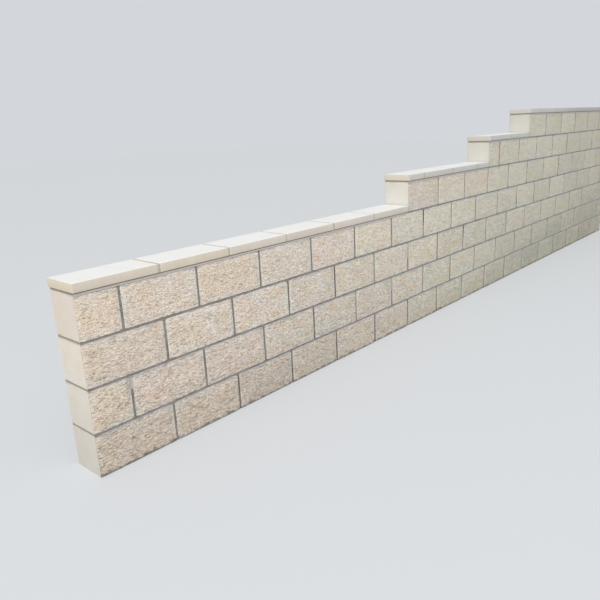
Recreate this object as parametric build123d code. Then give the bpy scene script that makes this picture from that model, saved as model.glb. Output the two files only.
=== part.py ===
from build123d import *
import os
import random

# Block retaining wall, stepped up in four levels.
# Split-face blocks are laid in running bond on mortar, and smooth cap tiles close each level.
# Sizes are in millimetres. X runs along the wall from its low end to its high end,
# Y runs from the split face into the bank, and Z is up from the footing.
# The origin is the middle of the wall's footprint.

# Blocks and cap tiles
BLOCK_LENGTH = 390.0
BLOCK_HEIGHT = 190.0
BLOCK_DEPTH = 190.0
CAP_WIDTH = 200.0
CAP_THICKNESS = 40.0
CAP_ARRIS = 2.0
CAP_END_OVERHANG = 5.0

# Mortar joints: raked back on the split face, struck off close to flush at the back
JOINT = 10.0
JOINT_RAKE = 6.0
BACK_STRIKE = 2.0
CAP_JOINT_SETBACK = 1.5

# Levels, from the low end: the length of each in whole blocks, and the height of the first
LEVEL_BLOCK_COUNTS = (6, 3, 2, 6)
FIRST_LEVEL_COURSES = 4

# What the splitter leaves on a face, each as its least and most: one long slope each way, as a
# share of the face, then a sloping margin along every side, then broken corners
SLOPE_SHARE = (0.35, 0.65)
SLOPE_DROP = (0.6, 1.5)
MARGIN_REACH = (14.0, 42.0)
MARGIN_DROP = (1.6, 3.2)
CORNER_REACH = (40.0, 90.0)
CORNER_DROP = (3.0, 4.8)
BROKEN_CORNER_COUNT = 2
FACE_SEED = 190

MODULE = BLOCK_LENGTH + JOINT
COURSE_RISE = BLOCK_HEIGHT + JOINT
WALL_LENGTH = sum(LEVEL_BLOCK_COUNTS) * MODULE - JOINT
WALL_START = -WALL_LENGTH / 2
FACE_Y = -BLOCK_DEPTH / 2
BACK_Y = BLOCK_DEPTH / 2
LEVELS = len(LEVEL_BLOCK_COUNTS)
COURSES = FIRST_LEVEL_COURSES + LEVELS - 1


def level_start(level):
    """The whole blocks before a level, which are also those before its top course."""
    return sum(LEVEL_BLOCK_COUNTS[:level])


def first_module(course):
    """The whole blocks before the start of a course. Courses are counted from 1."""
    return level_start(max(0, course - FIRST_LEVEL_COURSES))


def course_bottom(course):
    return (course - 1) * COURSE_RISE


def unit_spans(start_module, end_module, row):
    """Low and high X of each unit in a row: an even row starts and ends with a half unit."""
    offset = MODULE / 2 if row % 2 == 0 else MODULE
    count = end_module - start_module + (1 if row % 2 == 0 else 0)
    row_start = WALL_START + start_module * MODULE
    row_end = WALL_START + end_module * MODULE - JOINT
    starts = [row_start] + [row_start + offset + step * MODULE for step in range(count - 1)]
    ends = [start - JOINT for start in starts[1:]] + [row_end]
    return list(zip(starts, ends))


def joint_spans(spans):
    """Low and high X of the upright joints between the units of a row."""
    return [(left[1], right[0]) for left, right in zip(spans, spans[1:])]


def box_between(x_span, y_span, z_span):
    """A box from three pairs of low and high values."""
    sizes = [high - low for low, high in (x_span, y_span, z_span)]
    middles = [(low + high) / 2 for low, high in (x_span, y_span, z_span)]
    return Pos(*middles) * Box(*sizes)


def cut_facet(block, first, second, third):
    """Split a block along the plane through three points and keep what lies behind it."""
    origin = Vector(*first)
    along = Vector(*second) - origin
    across = Vector(*third) - origin
    inward = along.cross(across)
    if inward.Y < 0:
        inward = inward * -1
    return split(block, bisect_by=Plane(origin=origin, x_dir=along, z_dir=inward), keep=Keep.TOP)


def slope_side(block, x_span, z_span, side, reach, drop):
    """Slope a block's face down to one side, from a slanting line the two reaches away."""
    if side in ("left", "right"):
        edge, way = (x_span[0], 1) if side == "left" else (x_span[1], -1)
        first = (edge + way * reach[0], FACE_Y, z_span[0])
        second = (edge + way * reach[1], FACE_Y, z_span[1])
        on_edge = (edge, FACE_Y + drop, sum(z_span) / 2)
    else:
        edge, way = (z_span[0], 1) if side == "bottom" else (z_span[1], -1)
        first = (x_span[0], FACE_Y, edge + way * reach[0])
        second = (x_span[1], FACE_Y, edge + way * reach[1])
        on_edge = (sum(x_span) / 2, FACE_Y + drop, edge)
    return cut_facet(block, first, second, on_edge)


def break_corner(block, x_span, z_span, side, end, reach, drop):
    """Break a corner off a block's face, the two reaches long."""
    x_edge, x_way = (x_span[0], 1) if side == "left" else (x_span[1], -1)
    z_edge, z_way = (z_span[0], 1) if end == "bottom" else (z_span[1], -1)
    on_bed = (x_edge + x_way * reach[0], FACE_Y, z_edge)
    on_side = (x_edge, FACE_Y, z_edge + z_way * reach[1])
    at_corner = (x_edge, FACE_Y + drop, z_edge)
    return cut_facet(block, on_bed, on_side, at_corner)


def split_face_block(x_span, z_span, chance):
    """A block whose face has the slopes, broken margins and broken corners of split concrete."""
    block = box_between(x_span, (FACE_Y, BACK_Y), z_span)
    length = x_span[1] - x_span[0]
    height = z_span[1] - z_span[0]

    for sides, across in ((("left", "right"), length), (("bottom", "top"), height)):
        reach = [across * chance.uniform(*SLOPE_SHARE) for _ in range(2)]
        drop = chance.uniform(*SLOPE_DROP)
        block = slope_side(block, x_span, z_span, chance.choice(sides), reach, drop)

    for side in ("left", "right", "bottom", "top"):
        reach = [chance.uniform(*MARGIN_REACH) for _ in range(2)]
        drop = chance.uniform(*MARGIN_DROP)
        block = slope_side(block, x_span, z_span, side, reach, drop)

    corners = [(side, end) for side in ("left", "right") for end in ("bottom", "top")]
    for side, end in chance.sample(corners, BROKEN_CORNER_COUNT):
        reach = [chance.uniform(*CORNER_REACH) for _ in range(2)]
        drop = chance.uniform(*CORNER_DROP)
        block = break_corner(block, x_span, z_span, side, end, reach, drop)
    return block


def joint_mortar(x_span, z_span):
    """Mortar between blocks, raked back from their split faces and struck off behind."""
    return box_between(x_span, (FACE_Y + JOINT_RAKE, BACK_Y - BACK_STRIKE), z_span)


def cap_tile(x_span, bottom):
    """A smooth cap tile with its top arrises taken off."""
    tile = box_between(x_span, (-CAP_WIDTH / 2, CAP_WIDTH / 2), (bottom, bottom + CAP_THICKNESS))
    return chamfer(tile.faces().sort_by(Axis.Z)[-1].edges(), CAP_ARRIS)


def cap_joint(x_span, bottom):
    """The pointing between two cap tiles, a little back from their faces and top."""
    half_width = CAP_WIDTH / 2 - CAP_JOINT_SETBACK
    top = bottom + CAP_THICKNESS - CAP_JOINT_SETBACK
    return box_between(x_span, (-half_width, half_width), (bottom, top))


def write_node(name, pieces):
    """Write the solids of one node to its STEP file."""
    solids = [solid for piece in pieces for solid in piece.solids()]
    export_step(Compound(solids), f"parts/{name}.step")
    print(f"{name}: {len(solids)} solids")


os.makedirs("parts", exist_ok=True)
chance = random.Random(FACE_SEED)

for course in range(1, COURSES + 1):
    spans = unit_spans(first_module(course), sum(LEVEL_BLOCK_COUNTS), course)
    block_bottom = course_bottom(course)
    block_top = block_bottom + BLOCK_HEIGHT
    blocks = [split_face_block(span, (block_bottom, block_top), chance) for span in spans]
    uprights = [joint_mortar(span, (block_bottom, block_top)) for span in joint_spans(spans)]
    bed = joint_mortar((spans[0][0], spans[-1][1]), (block_top, block_top + JOINT))
    write_node(f"course_{course}_near_end_block", blocks[:1])
    write_node(f"course_{course}_blocks", blocks[1:-1])
    write_node(f"course_{course}_far_end_block", blocks[-1:])
    write_node(f"course_{course}_upright_joints", uprights)
    write_node(f"course_{course}_bed_joint", [bed])

for level in range(LEVELS):
    courses = FIRST_LEVEL_COURSES + level
    bottom = courses * COURSE_RISE
    spans = unit_spans(level_start(level), level_start(level + 1), courses + 1)
    joints = joint_spans(spans)
    spans[0] = (spans[0][0] - CAP_END_OVERHANG, spans[0][1])
    if level + 1 < LEVELS:
        joints.append((spans[-1][1], spans[-1][1] + JOINT))
    else:
        spans[-1] = (spans[-1][0], spans[-1][1] + CAP_END_OVERHANG)
    write_node(f"level_{level + 1}_cap_tiles", [cap_tile(span, bottom) for span in spans])
    write_node(f"level_{level + 1}_cap_joints", [cap_joint(span, bottom) for span in joints])
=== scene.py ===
# %% [markdown]
# # A stepped wall of split-face blocks
# The wall is masonry: concrete blocks of 390 by 190 by 190 mm on 10 mm mortar joints, laid in running bond,
# stepped up in four levels and closed with smooth cap tiles. Its solids are the fixed frame of this lesson,
# with every block, joint and tile in its place. Here they get the surfaces that a mason would know: faces
# torn open by the splitter, mortar raked back between them, and cast tiles with worn arrises. Each new
# piece stands exactly where the solid stands that it replaces, so nothing is fitted afterwards.

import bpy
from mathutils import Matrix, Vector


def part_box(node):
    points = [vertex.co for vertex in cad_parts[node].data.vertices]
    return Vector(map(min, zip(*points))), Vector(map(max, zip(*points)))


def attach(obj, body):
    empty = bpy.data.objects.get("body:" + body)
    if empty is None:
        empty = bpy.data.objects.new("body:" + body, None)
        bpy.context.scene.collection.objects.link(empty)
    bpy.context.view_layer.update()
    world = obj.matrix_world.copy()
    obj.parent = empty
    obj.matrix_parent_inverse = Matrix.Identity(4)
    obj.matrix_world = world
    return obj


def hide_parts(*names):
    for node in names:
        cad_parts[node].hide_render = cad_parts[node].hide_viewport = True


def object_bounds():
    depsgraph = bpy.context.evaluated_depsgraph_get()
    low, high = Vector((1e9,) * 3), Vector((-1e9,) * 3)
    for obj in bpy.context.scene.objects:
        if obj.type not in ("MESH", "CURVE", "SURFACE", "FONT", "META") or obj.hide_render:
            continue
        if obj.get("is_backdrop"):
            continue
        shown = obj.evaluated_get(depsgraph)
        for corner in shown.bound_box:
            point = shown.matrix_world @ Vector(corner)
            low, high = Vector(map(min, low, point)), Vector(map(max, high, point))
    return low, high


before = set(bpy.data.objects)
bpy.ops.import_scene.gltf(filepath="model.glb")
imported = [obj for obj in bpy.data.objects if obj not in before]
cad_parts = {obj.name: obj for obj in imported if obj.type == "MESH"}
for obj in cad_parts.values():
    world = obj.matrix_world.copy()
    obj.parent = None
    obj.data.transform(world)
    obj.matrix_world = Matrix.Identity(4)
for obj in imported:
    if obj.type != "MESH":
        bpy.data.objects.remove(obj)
cad_low, cad_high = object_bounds()
print(len(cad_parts), "nodes,", [round(side, 3) for side in cad_high - cad_low], "metres over all")

# %% Import what Blender and Python bring
import math
import random

import bmesh
import bpy
import numpy as np
from mathutils import Matrix, Vector

# %% [markdown]
# ## The masonry module
# Everything in blockwork follows from one block and one joint. The lengths are written once here, and the
# places are then read off the frame, so a longer or higher wall would be dressed by the same lines.

# %% The module and the wall's planes
MM = 0.001
BLOCK_LENGTH = 390 * MM
BLOCK_HEIGHT = 190 * MM
JOINT = 10 * MM
MODULE = BLOCK_LENGTH + JOINT
COURSE_RISE = BLOCK_HEIGHT + JOINT


def nodes_ending(*endings):
    """The names of the frame's nodes that end in one of these, in order."""
    return sorted(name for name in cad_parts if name.endswith(endings))


block_nodes = nodes_ending("_block", "_blocks")
upright_nodes = nodes_ending("upright_joints")
bed_nodes = nodes_ending("bed_joint")
cap_nodes = nodes_ending("cap_tiles")
pointing_nodes = nodes_ending("cap_joints")
face_y = min(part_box(name)[0].y for name in block_nodes)
back_y = max(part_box(name)[1].y for name in block_nodes)
wall_start = min(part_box(name)[0].x for name in block_nodes)
cap_boxes = [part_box(name) for name in cap_nodes]
print(f"block faces at Y {face_y:.3f}, backs at {back_y:.3f}, low end at X {wall_start:.3f}")


def capped(along, top):
    """1 where a cap tile closes masonry whose blocks end at this height, and 0 elsewhere."""
    over = [(along > low.x) & (along < high.x) for low, high in cap_boxes if abs(low.z - JOINT - top) < MM]
    return np.any(over, axis=0).astype(float)


# %% [markdown]
# ## Helpers for modelling without a mouse
# In the window, a piece is clicked and its edges are picked by eye. In a script the same operators run, but
# what they act on has to be said: which object is selected, and which vertices, edges or faces of it. These
# helpers say it by place. The others finish, copy and join pieces as the modifier stack and the Join
# command would.

# %% Select pieces, and edges by their place
def select_only(*pieces):
    """Make these the only selected objects, with the last one active."""
    bpy.ops.object.select_all(action="DESELECT")
    for piece in pieces:
        piece.select_set(True)
    bpy.context.view_layer.objects.active = pieces[-1]


def pick_edges(wanted):
    """In edit mode, select just the edges for which wanted(edge) is true."""
    bpy.ops.mesh.select_mode(type="EDGE")
    bpy.ops.mesh.select_all(action="DESELECT")
    shape = bmesh.from_edit_mesh(bpy.context.object.data)
    for edge in shape.edges:
        edge.select_set(wanted(edge))
    bmesh.update_edit_mesh(bpy.context.object.data)


# %% Finish, copy and join pieces
def finish_with(piece, kind, **settings):
    """Give a piece a modifier with these settings and apply it."""
    select_only(piece)
    modifier = piece.modifiers.new(kind, kind)
    for name, value in settings.items():
        setattr(modifier, name, value)
    bpy.ops.object.modifier_apply(modifier=modifier.name)


def copy_to(template, place):
    """Copy a template with its own mesh and set the copy's mesh down at a place."""
    piece = template.copy()
    piece.data = template.data.copy()
    piece.data.transform(Matrix.Translation(place))
    bpy.context.collection.objects.link(piece)
    return piece


def join(pieces, name):
    """Join pieces into one object of this name."""
    select_only(*pieces)
    if len(pieces) > 1:
        bpy.ops.object.join()
    joined = bpy.context.object
    joined.name = name
    joined.data.name = name
    return joined


# %% Weigh, measure and mark vertices
def weigh(piece, group_name, weight_at):
    """Fill a vertex group from a function of each vertex's place."""
    group = piece.vertex_groups.new(name=group_name)
    for vertex in piece.data.vertices:
        group.add([vertex.index], weight_at(vertex.co), "REPLACE")


def corners_of(piece):
    """Where a piece's vertices are, one row each."""
    places = np.empty(len(piece.data.vertices) * 3, np.float32)
    piece.data.vertices.foreach_get("co", places)
    return places.reshape(-1, 3)


def store(piece, name, values):
    """Keep one number for each vertex under a name for a material. A single number fills the piece."""
    attribute = piece.data.attributes.new(name, "FLOAT", "POINT")
    filled = np.broadcast_to(values, len(piece.data.vertices))
    attribute.data.foreach_set("value", filled.astype(np.float32))


def count_triangles(pieces):
    """The triangles that these pieces' meshes come to."""
    return sum(len(face.vertices) - 2 for piece in pieces for face in piece.data.polygons)


# %% [markdown]
# ## A box with a fine front
# Blocks and joints show one rough side, and five plain ones. Subdividing a whole cube would spend triangles
# on sides that nobody sees, and a separate front sheet would leave the piece open. So a grid is added as
# the front, its rim is extruded back to the depth of the piece in three rings, and the last ring is closed.
# The rings make a narrow lip behind the front, then the plain sides, then a small arris round the back.

# %% Model one closed box with a fine grid as its front
LIP_DEPTH = 9 * MM


def ring_back(y, grow, centre):
    """Extrude the selected rim back to a plane, grown or shrunk there about the centre."""
    shape = bmesh.from_edit_mesh(bpy.context.object.data)
    now = next(vertex.co.y for vertex in shape.verts if vertex.select)
    bpy.ops.mesh.extrude_edges_move(TRANSFORM_OT_translate={"value": (0, y - now, 0)})
    bpy.ops.transform.resize(value=(grow[0], 1, grow[1]), center_override=centre)


def fine_fronted_box(name, low, high, cell, lip, arris):
    """A closed box from low to high. Its front is a grid of cells, held in by a lip all round."""
    size = high - low
    centre = (low + high) / 2
    columns = max(2, round(size.x / cell[0]))
    rows = max(2, round(size.z / cell[1]))
    bpy.ops.object.select_all(action="DESELECT")
    bpy.ops.mesh.primitive_grid_add(
        x_subdivisions=columns, y_subdivisions=rows, size=1,
        location=(centre.x, low.y, centre.z), rotation=(math.radians(90), 0, 0))
    piece = bpy.context.object
    piece.name = name
    bpy.ops.object.transform_apply()
    front = (size.x - 2 * lip, size.z - 2 * lip)
    back = (size.x - 2 * arris, size.z - 2 * arris)
    bpy.ops.object.mode_set(mode="EDIT")
    bpy.ops.mesh.select_all(action="SELECT")
    bpy.ops.transform.resize(value=(front[0], 1, front[1]), center_override=(centre.x, low.y, centre.z))
    pick_edges(lambda edge: edge.is_boundary)
    ring_back(low.y + LIP_DEPTH, (size.x / front[0], size.z / front[1]), centre)
    ring_back(high.y - arris, (1, 1), centre)
    ring_back(high.y, (back[0] / size.x, back[1] / size.z), centre)
    bpy.ops.mesh.edge_face_add()
    bpy.ops.mesh.select_all(action="SELECT")
    bpy.ops.mesh.normals_make_consistent(inside=False)
    bpy.ops.object.mode_set(mode="OBJECT")
    return piece


# %% [markdown]
# ## The patterns of the break
# A block of this kind is cast double, and a machine breaks it in two. The break runs round the stones in
# the concrete and leaves flat scales, some 25 to 40 mm long and a third as high, with sharp creases under
# them. Four cloud noises add up to that: soft lumps a few centimetres across, hard clouds whose creases
# are the scales' edges, fine crumbs, and a spalling that eats the rim alone. A texture has no stretch of
# its own, so an empty is scaled along the wall, and the textures read its coordinates.

# %% Set up the patterns of the break
LUMP_SIZE, LUMP_HEIGHT = 45 * MM, 2.6 * MM
SCALE_SIZE, SCALE_HEIGHT = 9 * MM, 3.6 * MM
CRUMB_SIZE, CRUMB_HEIGHT = 5 * MM, 2.0 * MM
SPALL_SIZE, SPALL_DEPTH = 9 * MM, 0.7 * MM
SCALE_STRETCH = 3.2
SCALE_MIDDLE, SPALL_MIDDLE = 0.62, 0.75

stretcher = bpy.data.objects.new("stretcher", None)
stretcher.scale = (SCALE_STRETCH, 1, 1)
bpy.context.collection.objects.link(stretcher)


def clouds(name, size, depth, **settings):
    """A cloud noise for Displace, of this real size and this many finer octaves."""
    texture = bpy.data.textures.new(name, "CLOUDS")
    texture.noise_scale = size
    texture.noise_depth = depth
    for setting, value in settings.items():
        setattr(texture, setting, value)
    return texture


def displace(piece, group, direction, strength, texture=None, middle=0.5, empty=None):
    """Move a group by all of a strength, or by a texture, which can be read in an empty's coordinates."""
    finish_with(
        piece, "DISPLACE", vertex_group=group, direction=direction, strength=strength, texture=texture,
        mid_level=middle if texture else 0, texture_coords="OBJECT" if empty else "LOCAL",
        texture_coords_object=empty)


lumps = clouds("lumps", LUMP_SIZE, 2)
scales = clouds("scales", SCALE_SIZE, 3, noise_type="HARD_NOISE")
crumbs = clouds("crumbs", CRUMB_SIZE, 1)
spalls = clouds("spalls", SPALL_SIZE, 1)
print(*(f"{noise.name}: {noise.noise_scale / MM:.0f} mm" for noise in bpy.data.textures), sep=", ")

# %% [markdown]
# ## The split-face block
# The solids hold each block's own slopes and broken corners. The fine front is projected onto the solid's
# face with Shrinkwrap, which keeps those. Displace then turns it in a little more at both sides, where the
# stone broke away from the edge, and adds the scales. A regular grid shows as rows of dashes under raking
# light, so its vertices are first shuffled a little sideways. The other five sides keep the smooth skin of
# the mould. The block is modelled once as a whole one and once as a half one, and is then copied to each
# place.

# %% Model a whole and a half block
GRID_CELL = (6.0 * MM, 4.2 * MM)
SPLIT_LIP = 0.2 * MM
MOULD_ARRIS = 2 * MM
STAND_OFF = 5 * MM
RIM_WIDTH = 16 * MM
RIM_RELIEF = 0.25
SIDE_MARGIN, SIDE_DROP = 20 * MM, 1.8 * MM
SHUFFLE = 5 * MM
DEEPEST_FACE = 20 * MM


def block_template(name, length):
    """A block at the origin, its fine front standing off the face, ready to be projected onto it."""
    low = Vector((0, face_y, 0))
    high = Vector((length, back_y, BLOCK_HEIGHT))
    piece = fine_fronted_box(name, low, high, GRID_CELL, SPLIT_LIP, MOULD_ARRIS)
    corners = corners_of(piece)
    corners[corners[:, 1] < face_y + LIP_DEPTH / 2, 1] -= STAND_OFF
    piece.data.vertices.foreach_set("co", corners.ravel())

    def inside(place):
        return min(place.x, length - place.x, place.z, BLOCK_HEIGHT - place.z)

    def relief(place):
        share = min(1, inside(place) / RIM_WIDTH)
        return RIM_RELIEF + (1 - RIM_RELIEF) * share if place.y < face_y else 0

    def margin(place):
        share = min(place.x, length - place.x) / SIDE_MARGIN
        return max(0, 1 - share) if place.y < face_y else 0

    weigh(piece, "front", lambda place: float(place.y < face_y))
    weigh(piece, "relief", relief)
    weigh(piece, "margin", margin)
    weigh(piece, "rim", lambda place: float(place.y < face_y and inside(place) < GRID_CELL[1]))
    weigh(piece, "inner", lambda place: float(place.y < face_y and inside(place) > GRID_CELL[0]))
    for direction in ("X", "Z"):
        displace(piece, "inner", direction, SHUFFLE, crumbs)
    return piece


whole_block = block_template("whole_block", BLOCK_LENGTH)
half_block = block_template("half_block", (BLOCK_LENGTH - JOINT) / 2)
print("triangles in a whole block:", count_triangles([whole_block]))


# %% Break the faces of a piece
def break_faces(piece, node):
    """Lay the fronts on the solid's faces and roughen them. Keep how far each vertex stands out."""
    finish_with(
        piece, "SHRINKWRAP", target=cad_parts[node], wrap_method="PROJECT", use_project_y=True,
        use_positive_direction=True, project_limit=DEEPEST_FACE, vertex_group="front")
    displace(piece, "margin", "Y", SIDE_DROP)
    before = corners_of(piece)[:, 1]
    layers = ((lumps, LUMP_HEIGHT, 0.5), (scales, SCALE_HEIGHT, SCALE_MIDDLE), (crumbs, CRUMB_HEIGHT, 0.5))
    for texture, height, middle in layers:
        displace(piece, "relief", "Y", -height, texture, middle, stretcher)
    store(piece, "proud", before - corners_of(piece)[:, 1])
    displace(piece, "rim", "NORMAL", SPALL_DEPTH, spalls, SPALL_MIDDLE)


# %% Find the places of blocks and of their joints
def block_places(node):
    """The template of each block in a node and the corner where it stands."""
    low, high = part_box(node)
    if high.x - low.x < MODULE / 2:
        return [(half_block, Vector((low.x, 0, low.z)))]
    count = round((high.x - low.x + JOINT) / MODULE)
    return [(whole_block, Vector((low.x + step * MODULE, 0, low.z))) for step in range(count)]


def from_joint(unit, node):
    """How far each vertex of a block lies from its nearest upright joint. The wall's ends have none."""
    along = corners_of(unit)[:, 0]
    from_left = along - along.min() + ("near_end" in node) * MODULE
    from_right = along.max() - along + ("far_end" in node) * MODULE
    return np.minimum(from_left, from_right)


# %% Lay the blocks of every course
SEED = 27
SMOOTH_UNDER = math.radians(38)

# The trowel smeared the upper edge of each block at least this much, and fully under a cap
LEAST_SMEAR = 0.35

# One block of the fifth course came from a pinker batch, which its warmth tells by a value below 0
PINK_BLOCK, PINKEST = ("course_5_blocks", 1), -0.7

chance = random.Random(SEED)
trowel = random.Random(SEED + 1)
course_blocks = []
for node in block_nodes:
    units = []
    for template, place in block_places(node):
        unit = copy_to(template, place)
        tones = {"warmth": chance.random(), "shade": chance.random(), "smeared": chance.random()}
        if (node, len(units)) == PINK_BLOCK:
            tones["warmth"] = PINKEST
        closed = capped(corners_of(unit)[:, 0], place.z + BLOCK_HEIGHT)
        tones["smeared"] = np.maximum(LEAST_SMEAR + (1 - LEAST_SMEAR) * tones["smeared"], closed)
        tones["buttered"] = trowel.random()
        tones["from_side"] = from_joint(unit, node)
        for tone, value in tones.items():
            store(unit, tone, value)
        units.append(unit)
    blocks = join(units, "split_" + node)
    break_faces(blocks, node)
    select_only(blocks)
    bpy.ops.object.shade_smooth_by_angle(angle=SMOOTH_UNDER)
    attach(blocks, "root")
    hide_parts(node)
    course_blocks.append(blocks)
proud = np.concatenate([corners_of(piece)[:, 1] for piece in course_blocks])
print(len(course_blocks), "pieces of blocks,", count_triangles(course_blocks), "triangles")
print(f"the faces reach {(face_y - proud.min()) / MM:.1f} mm before the block's plane")

# %% [markdown]
# ## Mortar
# The joints were filled flush and then raked back while the mortar was green, with a jointer that leaves a
# shallow hollow. It is sandy, and a little wider than the joint where a block's edge has spalled, because
# it was pressed into the gap. The same fine-fronted box serves: its front is pushed in along the middle by
# a weighted Displace, set in and out by a slow noise, because no hand rakes evenly, and then roughened. The
# bed reaches behind the blocks' edges by a few millimetres, where they hide it, and covers the ends of the
# upright joints, which were raked a little deeper.

# %% Model a strip of mortar
ALONG_X, ALONG_Z = 0, 2
MORTAR_CELL = 9 * MM
MORTAR_REACH = 2.5 * MM
MORTAR_ROWS = 5
MORTAR_ROW = (JOINT + 2 * MORTAR_REACH) / MORTAR_ROWS
STRIP_LIP, STRIP_ARRIS = 0.1 * MM, 0.5 * MM


def mortar_strip(name, low, high, cell, across):
    """A strip of mortar, with how much each vertex is hollowed. Across is the axis of its width."""
    strip = fine_fronted_box(name, low, high, cell, STRIP_LIP, STRIP_ARRIS)
    middle = (low[across] + high[across]) / 2
    half = (high[across] - low[across]) / 2
    front = low.y + LIP_DEPTH / 2

    def hollow(place):
        share = abs(place[across] - middle) / half
        return max(0, 1 - share * share) if place.y < front else 0

    weigh(strip, "hollow", hollow)
    weigh(strip, "front", lambda place: float(place.y < front))
    store(strip, "struck", (corners_of(strip)[:, 1] > front).astype(float))
    store(strip, "upright", float(across == ALONG_X))
    return strip


# %% Rake a strip
MORTAR_HOLLOW = 1.4 * MM
MORTAR_FILL = 3.0 * MM
GROOVE_UNDER_CAP = 3 * MM
RAKE_WANDER = 5.0 * MM
GRIT_HEIGHT = 1.6 * MM
GRIT_SIZE, WANDER_SIZE = 7 * MM, 60 * MM

# Upright joints that were left full over a stretch: how far along the wall, and from and to which height
LEFT_FULL = ((0.195, 0.33, 0.39), (2.195, 0.30, 0.39), (2.395, 0.48, 0.59))

grit = clouds("grit", GRIT_SIZE, 2)
unsteady = clouds("unsteady", WANDER_SIZE, 1)


def rake(strip, node):
    """Bring the mortar forward where it was left full, press the hollow in and roughen its sand."""
    blocks_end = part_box(node)[0].z
    front = corners_of(strip)[:, 1].min() + LIP_DEPTH / 2

    def full(place):
        stretches = [abs(place.x - wall_start - along) < JOINT and bottom < place.z < top
                     for along, bottom, top in LEFT_FULL]
        under_cap = capped(place.x, blocks_end) and place.z < blocks_end + JOINT - GROOVE_UNDER_CAP
        return float(any(stretches) or under_cap)

    weigh(strip, "full", lambda place: full(place) if place.y < front else 0)
    weigh(strip, "raked", lambda place: 1 - full(place) if place.y < front else 0)
    store(strip, "left_full", [full(vertex.co) for vertex in strip.data.vertices])
    displace(strip, "full", "Y", -MORTAR_FILL)
    displace(strip, "raked", "Y", RAKE_WANDER, unsteady)
    displace(strip, "hollow", "Y", MORTAR_HOLLOW)
    displace(strip, "front", "Y", GRIT_HEIGHT, grit)


# %% Lay the mortar of the upright and bed joints
MORTAR_PROUD = 2.4 * MM
UPRIGHT_SETBACK = 2.0 * MM
END_RECESS = 0.8 * MM

mortar_low, mortar_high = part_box(upright_nodes[0])
upright = mortar_strip(
    "upright", Vector((-MORTAR_REACH, mortar_low.y - MORTAR_PROUD + UPRIGHT_SETBACK, 0)),
    Vector((JOINT + MORTAR_REACH, mortar_high.y, BLOCK_HEIGHT)), (MORTAR_ROW, MORTAR_CELL), ALONG_X)
joints = []
for node in upright_nodes:
    low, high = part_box(node)
    count = round((high.x - low.x - JOINT) / MODULE) + 1
    strips = [copy_to(upright, Vector((low.x + step * MODULE, 0, low.z))) for step in range(count)]
    joints.append((join(strips, "raked_" + node), node))
for node in bed_nodes:
    low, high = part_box(node)
    low += Vector((END_RECESS, -MORTAR_PROUD, -MORTAR_REACH))
    high += Vector((-END_RECESS, 0, MORTAR_REACH))
    strip = mortar_strip("raked_" + node, low, high, (MORTAR_CELL, MORTAR_ROW), ALONG_Z)
    joints.append((strip, node))
for strip, node in joints:
    rake(strip, node)
    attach(strip, "root")
    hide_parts(node)
mortar = [strip for strip, _ in joints]
print(len(mortar), "pieces of mortar,", count_triangles(mortar), "triangles")

# %% [markdown]
# ## Cap tiles and their pointing
# The caps are cast tiles with a smooth skin. What gives them away as real is small: arrises rounded by
# handling, a nick here and there, and a top that is flat only to a millimetre. A cube's edges are
# subdivided in all three directions, so that every side is a grid, its outer edges are bevelled, and two
# Displace modifiers wear the edges and unsettle the faces, inwards only. The pointing between the tiles is
# the same shape, narrow and rougher.

# %% Model a box of even cells with rounded edges
SQUARE_EDGE = math.radians(60)
ROUNDING = 2
WORN_REACH = 1.5


def celled_box(name, low, high, cell, arris):
    """A box from low to high whose sides are grids of about this cell, with rounded outer edges."""
    size = high - low
    middle = (low + high) / 2
    bpy.ops.object.select_all(action="DESELECT")
    bpy.ops.mesh.primitive_cube_add(size=1, location=middle)
    piece = bpy.context.object
    piece.name = name
    piece.scale = size
    bpy.ops.object.transform_apply()
    bpy.ops.object.mode_set(mode="EDIT")
    for axis in range(3):
        cuts = round(size[axis] / cell) - 1
        if cuts > 0:
            pick_edges(lambda edge: abs(edge.verts[0].co[axis] - edge.verts[1].co[axis]) > size[axis] / 2)
            bpy.ops.mesh.subdivide(number_cuts=cuts)
    pick_edges(lambda edge: edge.calc_face_angle() > SQUARE_EDGE)
    bpy.ops.mesh.bevel(offset=arris, segments=ROUNDING, affect="EDGES")
    bpy.ops.object.mode_set(mode="OBJECT")

    def near_edge(place):
        near = [abs(place[axis] - middle[axis]) > size[axis] / 2 - WORN_REACH * arris for axis in range(3)]
        return float(sum(near) > 1)

    weigh(piece, "edges", near_edge)
    return piece


# %% Lay one row of tiles or pointing
CAP_CELL, CAP_ARRIS = 14 * MM, 1.4 * MM
POINTING_CELL, POINTING_ARRIS = 5 * MM, 1 * MM
NICK_SIZE, NICK_DEPTH = 14 * MM, 1.6 * MM
WAVE_SIZE, WAVE_HEIGHT = 90 * MM, 0.6 * MM
POINTING_GRIT = 1.2 * MM
ALL_OVER, INWARDS = "", 1

nicks = clouds("nicks", NICK_SIZE, 2)
waves = clouds("waves", WAVE_SIZE, 1)


def ten_mm_steps(node):
    """Pairs of X that lie one joint apart in a node: the gaps between tiles, or the pointing itself."""
    places = sorted({round(vertex.co.x, 4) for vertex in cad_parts[node].data.vertices})
    return [(left, right) for left, right in zip(places, places[1:]) if abs(right - left - JOINT) < MM / 2]


def lay_row(name, node, spans, cell, arris):
    """One celled box for each span of a node, joined, with a warmth and a shade of its own for each."""
    low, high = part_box(node)
    units = []
    for start, end in spans:
        near, far = Vector((start, low.y, low.z)), Vector((end, high.y, high.z))
        units.append(celled_box("unit", near, far, cell, arris))
        for tone in ("warmth", "shade"):
            store(units[-1], tone, chance.random())
    row = join(units, name + node)
    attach(row, "root")
    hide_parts(node)
    return row


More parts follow.
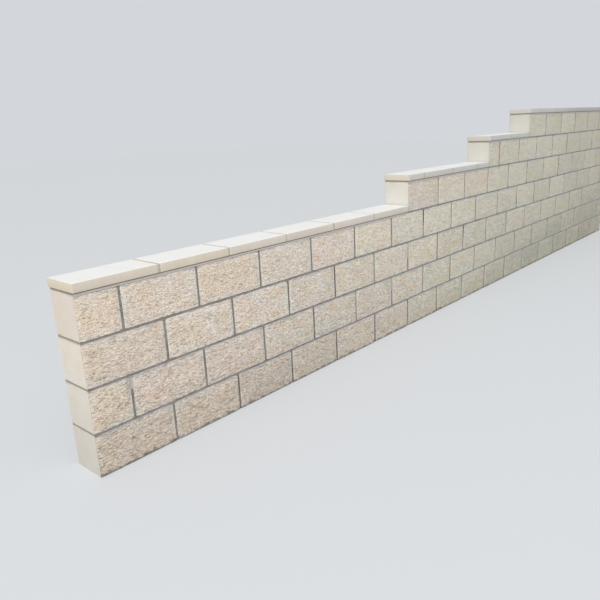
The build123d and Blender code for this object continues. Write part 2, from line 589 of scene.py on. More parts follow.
# %% Lay every level
caps, pointings = [], []
for node in cap_nodes:
    low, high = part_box(node)
    ends = [low.x, *[end for gap in ten_mm_steps(node) for end in gap], high.x]
    row = lay_row("cast_", node, zip(ends[::2], ends[1::2]), CAP_CELL, CAP_ARRIS)
    displace(row, "edges", "NORMAL", NICK_DEPTH, nicks, INWARDS)
    displace(row, ALL_OVER, "NORMAL", WAVE_HEIGHT, waves, INWARDS)
    bpy.ops.object.shade_smooth_by_angle(angle=SMOOTH_UNDER)
    caps.append(row)
for node in pointing_nodes:
    row = lay_row("pointed_", node, ten_mm_steps(node), POINTING_CELL, POINTING_ARRIS)
    displace(row, ALL_OVER, "NORMAL", POINTING_GRIT, grit, INWARDS)
    pointings.append(row)
print("cap tiles:", count_triangles(caps), "triangles, pointing:", count_triangles(pointings))
print("in all:", count_triangles(course_blocks + mortar + caps + pointings), "triangles")

# %% Clear away the templates
for spare in (whole_block, half_block, upright, stretcher):
    bpy.data.objects.remove(spare)

# %% [markdown]
# ## Reading and mixing patterns
# A shader is a tree of nodes. One small function adds a node with its settings and links, so each material
# below reads as a list of what is mixed with what. Colours are written as sRGB hex values, as a colour
# picker gives them, and are turned to the linear values that the shaders need. Pattern sizes are real
# millimetres. Each material first works out where something lies, and then lays its colours over each other
# in order, like coats of paint.

# %% Helpers for materials
HALF = (0.5, 0.5, 0.5)

# A Mix node has sockets for numbers, vectors and colours, so those for colours are told by their number
FACTOR, FIRST, SECOND, MIXED = 0, 6, 7, 2

# A noise's value seldom leaves these bounds, so a coat between them goes from none to all
NOISE_LOW, NOISE_HIGH = 0.35, 0.65


def srgb(hex_value):
    """The linear colour of an sRGB hex value."""
    shares = [int(hex_value[at:at + 2], 16) / 255 for at in (0, 2, 4)]
    linear = [share / 12.92 if share < 0.04045 else ((share + 0.055) / 1.055) ** 2.4 for share in shares]
    return (*linear, 1)


def new_material(name):
    """An empty material, and its tree of nodes."""
    material = bpy.data.materials.new(name)
    material.use_nodes = True
    material.node_tree.nodes.clear()
    return material, material.node_tree


def add(tree, kind, inputs=None, **settings):
    """Add a node with its settings. Each input is a value, or the output socket that it is linked to."""
    node = tree.nodes.new("ShaderNode" + kind)
    for name, value in settings.items():
        setattr(node, name, value)
    for name, value in (inputs or {}).items():
        if isinstance(value, bpy.types.NodeSocket):
            tree.links.new(value, node.inputs[name])
        else:
            node.inputs[name].default_value = value
    return node


def lay_over(tree, colour, coats):
    """Lay coats over a colour. Each covers nothing where its value is at start, and its most at end."""
    for value, start, end, most, coat in coats:
        cover = add(tree, "MapRange", {"Value": value, "From Min": start, "From Max": end, "To Max": most})
        mixed = add(tree, "Mix", {
            FACTOR: cover.outputs["Result"], FIRST: colour, SECOND: srgb(coat)}, data_type="RGBA")
        colour = mixed.outputs[MIXED]
    return colour


def along_and_up(tree, place):
    """How far along from the wall's low end and how far up a point lies, in metres."""
    along, _, up = add(tree, "SeparateXYZ", {"Vector": place}).outputs
    along = add(tree, "Math", {0: along, 1: wall_start}, operation="SUBTRACT")
    return along.outputs["Value"], up


# %% [markdown]
# ## The torn concrete
# Split-face concrete, coloured through with oxide and lime, torn open by the splitter. Nothing on it is
# glossy: it is a cream paste that drifts to ochre, pink and grey, with white and brown grit in it, so up
# close it is speckled and from afar it is sand. Each scale of the break is a facet, so its relief is drawn
# from Voronoi cells that are each tilted their own way, in a coarse and a fine size. Hollows get painted
# shade, and high chips a painted highlight. Under the bed joints the trowel left a smooth pale smear, the
# foot is darker, damp has stained some upright joints, and towards the high end painted shade greys the
# faces a little.

# %% The relief that is too fine for the mesh
# How large the facets are, and how steeply they tilt
FACETS = ((6.5 * MM, 0.6), (3.8 * MM, 1.0))
DRIFT_SIZE, DRIFT = 14 * MM, 6 * MM
WRINKLE_SIZE, WRINKLE_HEIGHT = 7 * MM, 2.0 * MM

# Real sand is under a millimetre. It is drawn this coarse so that it shows in the render.
SAND_SIZE, SAND_HEIGHT = 1.8 * MM, 0.9 * MM


def torn_relief(tree, place):
    """The height in metres of the scales, wrinkles and sand that are too fine for the mesh."""
    drift = add(tree, "TexNoise", {"Vector": place, "Scale": 1 / DRIFT_SIZE})
    drift = add(tree, "VectorMath", {0: drift.outputs["Color"], 1: HALF}, operation="SUBTRACT")
    drift = add(tree, "VectorMath", {0: drift.outputs["Vector"], "Scale": DRIFT}, operation="SCALE")
    loose = add(tree, "VectorMath", {0: place, 1: drift.outputs["Vector"]}, operation="ADD")
    scaly = add(tree, "Mapping", {"Vector": loose.outputs["Vector"], "Scale": (1 / SCALE_STRETCH, 1, 1)})
    scaly = scaly.outputs["Vector"]
    height = 0.0
    for size, slope in FACETS:
        cells = add(tree, "TexVoronoi", {"Vector": scaly, "Scale": 1 / size})
        offset = add(tree, "VectorMath", {0: scaly, 1: cells.outputs["Position"]}, operation="SUBTRACT")
        tilt = add(tree, "VectorMath", {0: cells.outputs["Color"], 1: HALF}, operation="SUBTRACT")
        facet = add(tree, "VectorMath", {0: offset.outputs["Vector"], 1: tilt.outputs["Vector"]},
                    operation="DOT_PRODUCT")
        height = add(tree, "Math", {
            0: facet.outputs["Value"], 1: slope, 2: height}, operation="MULTIPLY_ADD").outputs["Value"]
    for where, size, rise in ((scaly, WRINKLE_SIZE, WRINKLE_HEIGHT), (place, SAND_SIZE, SAND_HEIGHT)):
        noise = add(tree, "TexNoise", {"Vector": where, "Scale": 1 / size, "Detail": 3, "Roughness": 0.6})
        level = add(tree, "Math", {0: noise.outputs["Fac"], 1: 0.5}, operation="SUBTRACT")
        height = add(tree, "Math", {
            0: level.outputs["Value"], 1: rise, 2: height}, operation="MULTIPLY_ADD").outputs["Value"]
    return height


# %% Where smears and stains lie beside the joints
SMEAR_SOFTNESS, SMEAR_COVER, SMEAR_WANDER = 4 * MM, 0.8, 55 * MM
STAIN_SIZE, STAIN_COVER, STAIN = 200 * MM, 0.85, "564B38"
PATCH_LOW, PATCH_HIGH = 0.4, 0.6

# From and to where the stains grow along the wall. A metre up counts as this many metres along.
STAINED_FROM, STAINED_TO, STAIN_FALL = -0.4, 1.2, -1.5


def below_bed(tree, up):
    """How far a height on the wall lies below the top of its own course of blocks, in metres."""
    in_course = add(tree, "Math", {0: up, 1: COURSE_RISE}, operation="FLOORED_MODULO")
    below = add(tree, "Math", {0: BLOCK_HEIGHT, 1: in_course.outputs["Value"]}, operation="SUBTRACT")
    return below.outputs["Value"]


def smear_beyond(tree, place, distance, amount, least, most):
    """How far a smear goes on from here: it reaches a wandering way from the joint, by an amount."""
    wander = add(tree, "TexNoise", {"Vector": place, "Scale": 1 / SMEAR_WANDER, "Detail": 2})
    reach = add(tree, "MapRange", {
        "Value": wander.outputs["Fac"], "From Min": NOISE_LOW, "From Max": NOISE_HIGH,
        "To Min": least, "To Max": most})
    reach = add(tree, "Math", {0: reach.outputs["Result"], 1: amount}, operation="MULTIPLY")
    beyond = add(tree, "Math", {0: reach.outputs["Value"], 1: distance}, operation="SUBTRACT")
    return beyond.outputs["Value"]


def stain_in(tree, place, joint):
    """How far damp has stained an upright joint here: in patches, more at the foot and farther on."""
    along, up = along_and_up(tree, place)
    reach = add(tree, "Math", {0: up, 1: STAIN_FALL, 2: along}, operation="MULTIPLY_ADD")
    most = add(tree, "MapRange", {
        "Value": reach.outputs["Value"], "From Min": STAINED_FROM, "From Max": STAINED_TO, "To Max": joint})
    patches = add(tree, "TexNoise", {"Vector": place, "Scale": 1 / STAIN_SIZE, "Detail": 1})
    return add(tree, "MapRange", {
        "Value": patches.outputs["Fac"], "From Min": PATCH_LOW, "From Max": PATCH_HIGH,
        "To Max": most.outputs["Result"]}).outputs["Result"]


# %% Marks that anybody would point at
MARK_EDGE, MARK_WANDER, MARK_WANDER_SIZE = 0.4, 1.2, 8 * MM


def from_mark(tree, place, along, up, half_wide, half_high):
    """0 at the middle of a mark on the face and about 1 at its edge, which wanders a little."""
    shrunk = add(tree, "Mapping", {
        "Vector": place, "Location": (wall_start + along, face_y, up), "Scale": (half_wide, 1, half_high)},
        vector_type="TEXTURE")
    distance = add(tree, "VectorMath", {0: shrunk.outputs["Vector"]}, operation="LENGTH")
    wander = add(tree, "TexNoise", {"Vector": place, "Scale": 1 / MARK_WANDER_SIZE, "Detail": 2})
    wander = add(tree, "Math", {0: wander.outputs["Fac"], 1: 0.5}, operation="SUBTRACT")
    return add(tree, "Math", {
        0: wander.outputs["Value"], 1: MARK_WANDER, 2: distance.outputs["Value"]},
        operation="MULTIPLY_ADD").outputs["Value"]


# Each mark: how far along and up, half as wide and as high, how strong, what colour
MARKS = (
    (0.171, 0.112, 9 * MM, 8 * MM, 0.7, "8F7F72"),
    (0.976, 0.775, 8 * MM, 6 * MM, 0.9, "F6F5F5"),
    (0.943, 0.769, 8 * MM, 4 * MM, 0.7, "F6F4F0"),
    (0.913, 0.768, 6 * MM, 4 * MM, 0.5, "F6F4F0"),
    (0.178, 0.345, 13 * MM, 45 * MM, 0.8, "C0C0BB"),
    (0.199, 0.181, 30 * MM, 9 * MM, 0.7, "C0C2BC"),
    (0.150, 0.218, 70 * MM, 12 * MM, 0.5, "D8DCCB"),
    (0.370, 0.172, 18 * MM, 16 * MM, 0.6, "C6CBC8"),
    (2.150, 0.340, 40 * MM, 50 * MM, 0.6, "CBD2C9"),
)


# %% How large the finishes of a split face are and where they lie
BATCH_SIZE, GRAIN_SIZE = 75 * MM, 3.2 * MM
UNDER_BED_REACH = (6 * MM, 20 * MM)
BESIDE_REACH = (-3 * MM, 15 * MM)
STONE_EDGE, STONE_SIDE = 1.0 * MM, 0.2 * MM

# Blotches, and painted shade towards the high end: from and to how far along the wall they grow, and the
# most they cover
BLOTCH_SIZE = 20 * MM
BLOTCHED_FROM, BLOTCHED_TO, BLOTCH_COVER = 0.6, 3.2, 0.26
SHADE_PAINTED_FROM, SHADE_PAINTED_TO, SHADE_PAINTED_COVER = 2.8, 4.6, 0.15

# A dark ragged line lies at the foot. Painted shade lies in the hollows, deeper near the foot, which a metre
# up makes this much shallower. Farther along, painted shade greys the foot, and a metre up counts as this
# many metres along.
FOOT_LINE_SIZE, FOOT_LINE_HEIGHT = 30 * MM, 60 * MM
HOLLOW_SHADE_FADE = 6 * MM
FOOT_FALL = -8.0

# How dark and light single blocks are, and how much relief is left under a smear and from foot to top
BLOCK_VALUE = (0.95, 1.04)
SMEARED_RELIEF = 0.25
ROUGH_FOOT, ROUGH_TOP, ROUGH_UNTIL = 1.35, 0.8, 0.8


# %% The material of the split faces
def split_face_material():
    """Matt cream concrete full of grit: speckled up close, sandy from afar, and never glossy."""
    material, tree = new_material("split_face_concrete")
    place = add(tree, "TexCoord").outputs["Object"]
    along, up = along_and_up(tree, place)
    kept = {name: add(tree, "Attribute", attribute_name=name).outputs["Fac"]
            for name in ("proud", "warmth", "shade", "smeared", "buttered", "from_side")}
    height = torn_relief(tree, place)

    batch = add(tree, "TexNoise", {"Vector": place, "Scale": 1 / BATCH_SIZE, "Detail": 2})
    batch = add(tree, "SeparateColor", {"Color": batch.outputs["Color"]})
    grains = add(tree, "TexVoronoi", {"Vector": place, "Scale": 1 / GRAIN_SIZE})
    grain = add(tree, "SeparateColor", {"Color": grains.outputs["Color"]})
    bed = below_bed(tree, up)
    under_bed = smear_beyond(tree, place, bed, kept["smeared"], *UNDER_BED_REACH)
    beside = smear_beyond(tree, place, kept["from_side"], kept["buttered"], *BESIDE_REACH)
    smear = add(tree, "Math", {0: under_bed, 1: beside}, operation="MAXIMUM").outputs["Value"]
    ragged = add(tree, "TexNoise", {
        "Vector": place, "Scale": 1 / FOOT_LINE_SIZE, "Detail": 4, "Roughness": 0.7})
    dark_foot_line = add(tree, "Math", {
        0: ragged.outputs["Fac"], 1: -FOOT_LINE_HEIGHT, 2: up}, operation="MULTIPLY_ADD")
    shaded_hollows_low = add(tree, "Math", {0: up, 1: HOLLOW_SHADE_FADE, 2: height}, operation="MULTIPLY_ADD")
    painted_foot_shade = add(tree, "Math", {0: up, 1: FOOT_FALL, 2: along}, operation="MULTIPLY_ADD")
    above_bed = add(tree, "Math", {0: BLOCK_HEIGHT, 1: bed}, operation="SUBTRACT").outputs["Value"]
    near_bed = add(tree, "Math", {0: bed, 1: above_bed}, operation="MINIMUM").outputs["Value"]
    near_joint = add(tree, "Math", {0: near_bed, 1: kept["from_side"]}, operation="MINIMUM")
    long = add(tree, "Mapping", {"Vector": place, "Scale": (1 / SCALE_STRETCH, 1, 1)}).outputs["Vector"]
    blotch = add(tree, "TexNoise", {"Vector": long, "Scale": 1 / BLOTCH_SIZE, "Detail": 2, "Roughness": 0.7})
    farther = add(tree, "MapRange", {
        "Value": along, "From Min": BLOTCHED_FROM, "From Max": BLOTCHED_TO, "To Max": BLOTCH_COVER})
    farther = farther.outputs["Result"]
    painted_far_shade = add(tree, "MapRange", {
        "Value": along, "From Min": SHADE_PAINTED_FROM, "From Max": SHADE_PAINTED_TO, "To Max": SHADE_PAINTED_COVER})
    joint_side = add(tree, "MapRange", {
        "Value": kept["from_side"], "From Min": STONE_EDGE, "From Max": STONE_SIDE})
    stain = stain_in(tree, place, joint_side.outputs["Result"])
    marks = [(from_mark(tree, place, *mark[:4]), 1 + MARK_EDGE, 1 - MARK_EDGE, *mark[4:]) for mark in MARKS]

    colour = lay_over(tree, srgb("F6F0E9"), (
        (batch.outputs["Red"], 0.46, 0.64, 0.65, "F2E3C5"),
        (batch.outputs["Green"], 0.48, 0.66, 0.50, "F8DCCF"),
        (batch.outputs["Blue"], 0.50, 0.66, 0.45, "E5E7DE"),
        (grain.outputs["Red"], 0.70, 0.90, 0.6, "FCF9F5"),
        (grain.outputs["Green"], 0.78, 0.95, 0.50, "B9AFA4"),
        # Painted shade in the hollows, deeper near the foot, and painted highlights on the high points, of
        # the fine relief and of the mesh
        (height, 0.1 * MM, -1.6 * MM, 0.35, "B6ACA2"),
        (shaded_hollows_low.outputs["Value"], 0.4 * MM, -1.2 * MM, 0.5, "A39484"),
        (height, 0.3 * MM, 1.8 * MM, 0.4, "FDFBF8"),
        (kept["proud"], 0.2 * MM, -2.0 * MM, 0.20, "B6ACA2"),
        (kept["proud"], 0.5 * MM, 2.5 * MM, 0.20, "FCF8F2"),
        (kept["warmth"], 0.5, 1.0, 0.40, "EADAC2"),
        (kept["warmth"], 0.5, PINKEST, 0.65, "E8CFC9"),
        (along, 1.2, 0.3, 0.25, "F0D8C2"),
        # Darker towards the foot; the next coat is painted shade at the foot farther along
        (up, 280 * MM, 130 * MM, 0.34, "C7BDAF"),
        (painted_foot_shade.outputs["Value"], 2.0, 2.9, 0.32, "8A8278"),
        (near_joint.outputs["Value"], 24 * MM, 4 * MM, 0.35, "D2D8DC"),
        (near_joint.outputs["Value"], STONE_EDGE, STONE_SIDE, 0.85, "7E766A"),
        # Painted shade: the faces turn greyer and darker towards the high end
        (along, 1.4, 3.2, 0.44, "D1D8CB"),
        (along, 3.6, 4.6, 0.20, "ABB4AE"),
        (up, 1.30, 0.45, painted_far_shade.outputs["Result"], "868C8C"),
        (along, 4.9, 5.9, 0.20, "908F8C"),
        (blotch.outputs["Fac"], 0.5, 0.72, farther, "A39C90"),
        (blotch.outputs["Fac"], 0.5, 0.28, farther, "F1EFE6"),
        (batch.outputs["Red"], 0.50, 0.64, farther, "DDD0A6"),
        (batch.outputs["Green"], 0.50, 0.64, farther, "E0CEC0"),
        (batch.outputs["Blue"], 0.52, 0.66, farther, "CAD6C8"),
        (stain, 0.0, 1.0, STAIN_COVER, STAIN),
        (smear, 0.0, SMEAR_SOFTNESS, SMEAR_COVER, "C9C6C5"),
        (dark_foot_line.outputs["Value"], -12 * MM, -26 * MM, 0.75, "6B5D4C"),
        *marks,
    ))
    value = add(tree, "MapRange", {
        "Value": kept["shade"], "To Min": BLOCK_VALUE[0], "To Max": BLOCK_VALUE[1]})
    colour = add(tree, "HueSaturation", {"Color": colour, "Value": value.outputs["Result"]})

    bare = add(tree, "MapRange", {"Value": smear, "To Min": 1.0, "To Max": SMEARED_RELIEF})
    rougher_low = add(tree, "MapRange", {
        "Value": up, "From Max": ROUGH_UNTIL, "To Min": ROUGH_FOOT, "To Max": ROUGH_TOP})
    bump = add(tree, "Bump", {
        "Height": height, "Strength": bare.outputs["Result"], "Distance": rougher_low.outputs["Result"]})
    surface = add(tree, "BsdfPrincipled", {
        "Base Color": colour.outputs["Color"], "Roughness": 0.95, "Normal": bump.outputs["Normal"]})
    add(tree, "OutputMaterial", {"Surface": surface.outputs["BSDF"]})
    return material


# %% [markdown]
# ## The moulded skin
# The ends and backs kept the skin of the steel mould: smooth, pale and matt, with a fine sand grain, a few
# pinholes and soft clouds where the mix was wetter. Beside a bed joint the skin carries a thin grey film of
# mortar. An unwrapped picture would show the same cloud on every block, so noise in Object coordinates is
# used, which runs on over the whole wall.

# %% The material of the moulded faces
SKIN_CLOUD_SIZE, SKIN_RUN_SIZE, PINHOLE_SPACING = 60 * MM, 14 * MM, 13 * MM
SKIN_RUN_SQUASH = 0.15
FILM_UNDER_BED, FILM_OVER_BED = (1 * MM, 9 * MM), (-1 * MM, 6 * MM)

# The grain is coarser than the real one, so that it shows. A pinhole is as deep as this many grains.
SKIN_GRAIN, SKIN_RELIEF, PIT_DEPTH = 1.5 * MM, 0.3 * MM, 4.0
HOLE_OUTER, HOLE_INNER = 0.09, 0.05


def mould_skin_material():
    """Pale, even and matt, with a pinhole here and there: it tells the eye that this side wasn't broken."""
    material, tree = new_material("moulded_concrete_skin")
    place = add(tree, "TexCoord").outputs["Object"]
    along, up = along_and_up(tree, place)
    shade = add(tree, "Attribute", attribute_name="shade").outputs["Fac"]
    cloudy = add(tree, "TexNoise", {
        "Vector": place, "Scale": 1 / SKIN_CLOUD_SIZE, "Detail": 4, "Roughness": 0.55})
    tall = add(tree, "Mapping", {"Vector": place, "Scale": (1, 1, SKIN_RUN_SQUASH)})
    runs = add(tree, "TexNoise", {"Vector": tall.outputs["Vector"], "Scale": 1 / SKIN_RUN_SIZE, "Detail": 2})
    holes = add(tree, "TexVoronoi", {"Vector": place, "Scale": 1 / PINHOLE_SPACING})
    bed = below_bed(tree, up)
    under_bed = smear_beyond(tree, place, bed, 1.0, *FILM_UNDER_BED)
    over_bed = add(tree, "Math", {0: BLOCK_HEIGHT, 1: bed}, operation="SUBTRACT").outputs["Value"]
    over_bed = smear_beyond(tree, place, over_bed, 1.0, *FILM_OVER_BED)
    film = add(tree, "Math", {0: under_bed, 1: over_bed}, operation="MAXIMUM").outputs["Value"]
    colour = lay_over(tree, srgb("EDE6D8"), (
        (cloudy.outputs["Fac"], NOISE_LOW, NOISE_HIGH, 1.0, "F1ECE7"),
        (runs.outputs["Fac"], 0.5, 0.75, 0.07, "CBC3B2"),
        (holes.outputs["Distance"], HOLE_OUTER, HOLE_INNER, 0.6, "8F8472"),
        (shade, 0.2, 1.0, 0.35, "DECDC0"),
        # Darker towards the foot; the next coat is painted shade, greyer farther along
        (up, 520 * MM, 20 * MM, 0.55, "C6C7C4"),
        (along, 0.0, 4.2, 0.50, "B9BEB5"),
        (film, 0.0, SMEAR_SOFTNESS, 0.5, "B9B3A5"),
    ))
    grain = add(tree, "TexNoise", {"Vector": place, "Scale": 1 / SKIN_GRAIN, "Detail": 2})
    pits = add(tree, "MapRange", {
        "Value": holes.outputs["Distance"], "From Min": HOLE_INNER, "From Max": HOLE_OUTER})
    pitted = add(tree, "Math", {
        0: pits.outputs["Result"], 1: PIT_DEPTH, 2: grain.outputs["Fac"]}, operation="MULTIPLY_ADD")
    bump = add(tree, "Bump", {"Height": pitted.outputs["Value"], "Strength": 0.5, "Distance": SKIN_RELIEF})
    surface = add(tree, "BsdfPrincipled", {
        "Base Color": colour, "Roughness": 0.85, "Normal": bump.outputs["Normal"]})
    add(tree, "OutputMaterial", {"Surface": surface.outputs["BSDF"]})
    return material


# %% [markdown]
# ## Raked mortar and flush pointing
# Cement mortar, grey-brown and sandy. Raking tore its skin, so in the joints of the face it is rough and
# takes the light dully. At the ends and the back it was struck off with the trowel, which closed its skin
# and left it paler. The caps were pointed flush with the same mortar, and it has dried paler still in the
# open. One function makes both, and attributes kept while modelling tell it where the mortar was struck or
# left full.

# %% The material of the mortar
MORTAR_BLOTCH = 40 * MM

# The sand is drawn a little coarser than the real one, so that it shows
MORTAR_SAND, MORTAR_RELIEF = 1.2 * MM, 0.6 * MM


def mortar_material(name, dark, pale, struck_pale):
    """Dull and sandy, from dark to pale in blotches, and paler where the trowel has closed its skin."""
    material, tree = new_material(name)
    place = add(tree, "TexCoord").outputs["Object"]
    kept = {name: add(tree, "Attribute", attribute_name=name).outputs["Fac"]
            for name in ("struck", "left_full", "upright")}
    along, _ = along_and_up(tree, place)
    blotches = add(tree, "TexNoise", {"Vector": place, "Scale": 1 / MORTAR_BLOTCH, "Detail": 4})
    sand = add(tree, "TexNoise", {"Vector": place, "Scale": 1 / MORTAR_SAND, "Detail": 2})
    colour = lay_over(tree, srgb(dark), (
        (blotches.outputs["Fac"], NOISE_LOW, NOISE_HIGH, 1.0, pale),
        # Painted shade: the mortar turns a bluer grey farther along
        (along, 1.0, 3.0, 0.4, "8C9398"),
        (stain_in(tree, place, kept["upright"]), 0.0, 1.0, STAIN_COVER, STAIN),
        (kept["left_full"], 0.0, 1.0, 0.8, "C4BDB9"),
        (kept["struck"], 0.0, 1.0, 1.0, struck_pale),
        (sand.outputs["Fac"], 0.55, 0.75, 0.35, "5E5850"),
    ))
    bump = add(tree, "Bump", {"Height": sand.outputs["Fac"], "Strength": 0.8, "Distance": MORTAR_RELIEF})
    surface = add(tree, "BsdfPrincipled", {
        "Base Color": colour, "Roughness": 0.95, "Normal": bump.outputs["Normal"]})
    add(tree, "OutputMaterial", {"Surface": surface.outputs["BSDF"]})
    return material


# %% [markdown]
# ## Cast cap concrete
# The caps are a fine buff concrete, cast face down in a smooth mould. Each tile came from its own batch, so
# one is yellower and the next pinker. The tops are painted almost white, partly as bleaching by rain and sun
# and partly as painted light from above, with faint clouds and darker specks left in them, and dust has run
# down the fronts in faint streaks. The ends that face the low end carry painted light, and the fronts carry
# painted shade farther along. Tops and fronts could have a material each, but the normal's Z tells them
# apart in one, and the worn arris then blends from one to the other.

# %% The material of the cap tiles
CAP_CLOUD_SIZE, CAP_RUN_SIZE, CAP_HOLE_SPACING = 90 * MM, 12 * MM, 15 * MM
CAP_RUN_SQUASH = 0.2

# The grain is coarser than the real one, so that it shows
CAP_GRAIN, CAP_RELIEF = 1.5 * MM, 0.25 * MM


def cap_material():
    """Smooth buff concrete, each tile in its own tone, bleached and with painted light above: the one even
    surface in sight.
    """
    material, tree = new_material("cast_cap_concrete")
    place = add(tree, "TexCoord").outputs["Object"]
    along, _ = along_and_up(tree, place)
    warmth = add(tree, "Attribute", attribute_name="warmth").outputs["Fac"]
    shade = add(tree, "Attribute", attribute_name="shade").outputs["Fac"]
    cloudy = add(tree, "TexNoise", {
        "Vector": place, "Scale": 1 / CAP_CLOUD_SIZE, "Detail": 4, "Roughness": 0.55})
    tall = add(tree, "Mapping", {"Vector": place, "Scale": (1, 1, CAP_RUN_SQUASH)})
    runs = add(tree, "TexNoise", {"Vector": tall.outputs["Vector"], "Scale": 1 / CAP_RUN_SIZE, "Detail": 3})
    holes = add(tree, "TexVoronoi", {"Vector": place, "Scale": 1 / CAP_HOLE_SPACING})
    facing = add(tree, "NewGeometry").outputs["Normal"]
    leftward, _, upward = add(tree, "SeparateXYZ", {"Vector": facing}).outputs
    grain = add(tree, "TexNoise", {"Vector": place, "Scale": 1 / CAP_GRAIN, "Detail": 2})
    colour = lay_over(tree, srgb("D0CBC4"), (
        (cloudy.outputs["Fac"], NOISE_LOW, NOISE_HIGH, 1.0, "D6D1CC"),
        (warmth, 0.5, 1.0, 0.5, "D8CBB4"),
        (warmth, 0.5, 0.0, 0.4, "DACCC6"),
        (shade, 0.3, 1.0, 0.25, "C2BBB0"),
        (runs.outputs["Fac"], 0.5, 0.75, 0.12, "B3A793"),
        # Painted light on the ends that face the low end
        (leftward, -0.6, -0.95, 0.8, "EDE2C9"),
        # Painted shade on the fronts farther along; the ends then get their painted light back
        (along, 1.6, 3.4, 0.72, "B6BBC2"),
        (leftward, -0.6, -0.95, 0.4, "EADFD2"),
        (holes.outputs["Distance"], 0.08, 0.05, 0.6, "8C816F"),
        # The tops go almost white: partly bleaching, partly painted light from above
        (upward, 0.6, 0.95, 0.88, "F3F5F5"),
        (cloudy.outputs["Fac"], 0.52, 0.70, 0.22, "D9D8D3"),
        (grain.outputs["Fac"], 0.60, 0.75, 0.30, "C4BFB5"),
        # Painted shade at the far end, on tops and fronts
        (along, 4.9, 5.7, 0.30, "7E7873"),
    ))
    bump = add(tree, "Bump", {"Height": grain.outputs["Fac"], "Strength": 0.35, "Distance": CAP_RELIEF})
    surface = add(tree, "BsdfPrincipled", {
        "Base Color": colour, "Roughness": 0.8, "Normal": bump.outputs["Normal"]})
    add(tree, "OutputMaterial", {"Surface": surface.outputs["BSDF"]})
    return material


# %% Dress the pieces
SKIN_STARTS = LIP_DEPTH + 0.1 * MM


def dress_blocks(pieces, split, skin):
    """Give the front of each block the torn finish and its other sides the moulded one."""
    for piece in pieces:
        piece.data.materials.clear()
        piece.data.materials.append(split)
        piece.data.materials.append(skin)
        corners = corners_of(piece)
        for face in piece.data.polygons:
            deepest = max(corners[corner, 1] for corner in face.vertices)
            face.material_index = 0 if deepest < face_y + SKIN_STARTS else 1


dress_blocks(course_blocks, split_face_material(), mould_skin_material())
finishes = (
    (mortar, mortar_material("raked_cement_mortar", "7E7975", "948E89", "A8A194")),
    (pointings, mortar_material("flush_cement_pointing", "B3ADA4", "C2BCB2", "C2BCB2")),
    (caps, cap_material()),
)
for pieces, material in finishes:
    for piece in pieces:
        piece.data.materials.clear()
        piece.data.materials.append(material)
print(len(bpy.data.materials), "materials")

# %% [markdown]
# ## Floor, light and camera
# The studio is plain: a pale floor, a soft sun from the upper left, a wide soft lamp nearer the low end,
# and an even sky. The strengths are set so that a colour renders about as it is written. To the eye the
# floor and the sky are the same pale cool grey, against which cream reads as cream, and the floor has no
# sheen, so that they meet alike from every side.

# %% Lay the floor
FLOOR_SPAN = 80
STUDIO_PALE = "D9DDE2"
FLOOR_BOUNCE = "A8A299"


def seen(tree):
    """1 for a ray that shows something to the eye, straight or by a mirror or glass, and 0 for light."""
    rays = add(tree, "LightPath").outputs
    share = rays["Is Camera Ray"]
    for other in ("Is Glossy Ray", "Is Transmission Ray"):
        share = add(tree, "Math", {0: share, 1: rays[other]}, operation="MAXIMUM").outputs["Value"]
    return share


def floor_material():
    """Pale to look at, and darker in the light that it gives back, so the foot isn't lit from below."""
    material, tree = new_material("studio_floor")
    colour = add(tree, "Mix", {
        FACTOR: seen(tree), FIRST: srgb(FLOOR_BOUNCE), SECOND: srgb(STUDIO_PALE)}, data_type="RGBA")
    surface = add(tree, "BsdfPrincipled", {
        "Base Color": colour.outputs[MIXED], "Roughness": 1.0, "Specular IOR Level": 0.0})
    add(tree, "OutputMaterial", {"Surface": surface.outputs["BSDF"]})
    return material


bpy.ops.object.select_all(action="DESELECT")
bpy.ops.mesh.primitive_plane_add(size=FLOOR_SPAN, location=(0, 0, cad_low.z))
floor = bpy.context.object
floor.name = "floor"
floor.data.materials.append(floor_material())
bpy.ops.object.transform_apply()
floor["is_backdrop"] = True
print(f"floor {floor.dimensions.x:.0f} m wide at Z {cad_low.z:.3f}")

# %% Light the wall
SUN_FROM = Vector((-0.50, -0.62, 0.60))
SUN_STRENGTH = 2.05
SUN_SPREAD = math.radians(22)
LAMP_PLACE = Vector((-7.5, -5.5, 6.0))
LAMP_WIDTH = 4
LAMP_POWER = 110
SKY_COLOUR = "EAE9E6"
SKY_STRENGTH = 0.66
SKY_SEEN = 0.94


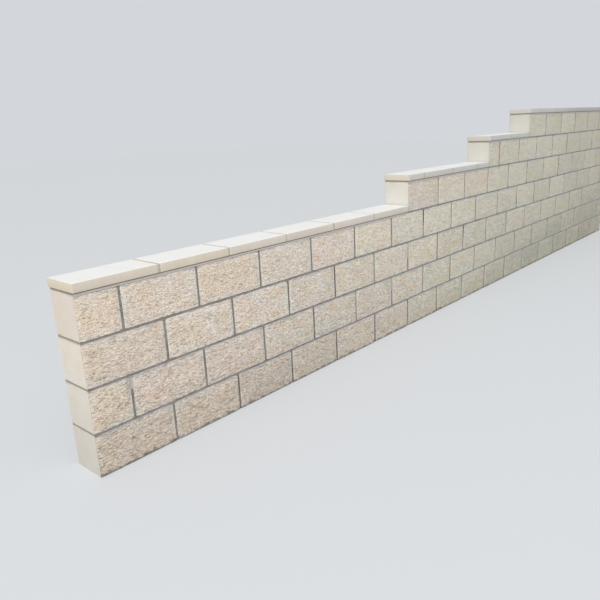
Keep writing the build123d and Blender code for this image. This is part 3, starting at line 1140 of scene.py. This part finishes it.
def add_light(name, kind, energy, toward, place=(0, 0, 0)):
    """A lamp at a place, whose light comes from the direction that toward points to."""
    light = bpy.data.lights.new(name, kind)
    light.energy = energy
    lamp = bpy.data.objects.new(name, light)
    lamp.location = place
    lamp.rotation_euler = toward.to_track_quat("Z", "Y").to_euler()
    bpy.context.collection.objects.link(lamp)
    return light


add_light("soft_sun", "SUN", SUN_STRENGTH, SUN_FROM).angle = SUN_SPREAD
add_light("near_softbox", "AREA", LAMP_POWER, LAMP_PLACE, LAMP_PLACE).size = LAMP_WIDTH

world = bpy.data.worlds.new("studio")
bpy.context.scene.world = world
world.use_nodes = True
tree = world.node_tree
tree.nodes.clear()
shown = seen(tree)
strength = add(tree, "MapRange", {"Value": shown, "To Min": SKY_STRENGTH, "To Max": SKY_SEEN})
pale = add(tree, "Mix", {
    FACTOR: shown, FIRST: srgb(SKY_COLOUR), SECOND: srgb(STUDIO_PALE)}, data_type="RGBA")
sky = add(tree, "Background", {"Color": pale.outputs[MIXED], "Strength": strength.outputs["Result"]})
add(tree, "OutputWorld", {"Surface": sky.outputs["Background"]})

# %% Set up the camera
# The place in metres, the turns and the lens were fitted to where the joints lie in the photograph
CAMERA_PLACE = Vector((-4.4458, -2.2141, 1.3645))
HEADING = math.radians(42.288)
DIP = math.radians(16.01)
ROLL = math.radians(-2.734)
FOCAL_LENGTH, SENSOR_WIDTH = 35.846, 36

camera_data = bpy.data.cameras.new("camera")
camera_data.lens = FOCAL_LENGTH
camera_data.sensor_width = SENSOR_WIDTH
camera = bpy.data.objects.new("camera", camera_data)
turn = Matrix.Rotation(HEADING - math.pi / 2, 4, "Z") @ Matrix.Rotation(math.pi / 2 - DIP, 4, "X")
camera.matrix_world = Matrix.Translation(CAMERA_PLACE) @ turn @ Matrix.Rotation(ROLL, 4, "Z")
bpy.context.collection.objects.link(camera)
bpy.context.scene.camera = camera
bpy.context.scene.view_settings.view_transform = "Standard"
print(f"camera {(CAMERA_PLACE - cad_low).length:.1f} m from the low end's foot, {FOCAL_LENGTH:.1f} mm lens")

# %% Measure and finish
low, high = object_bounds()
print("visual box:", [round(value, 4) for value in (*low, *high)])
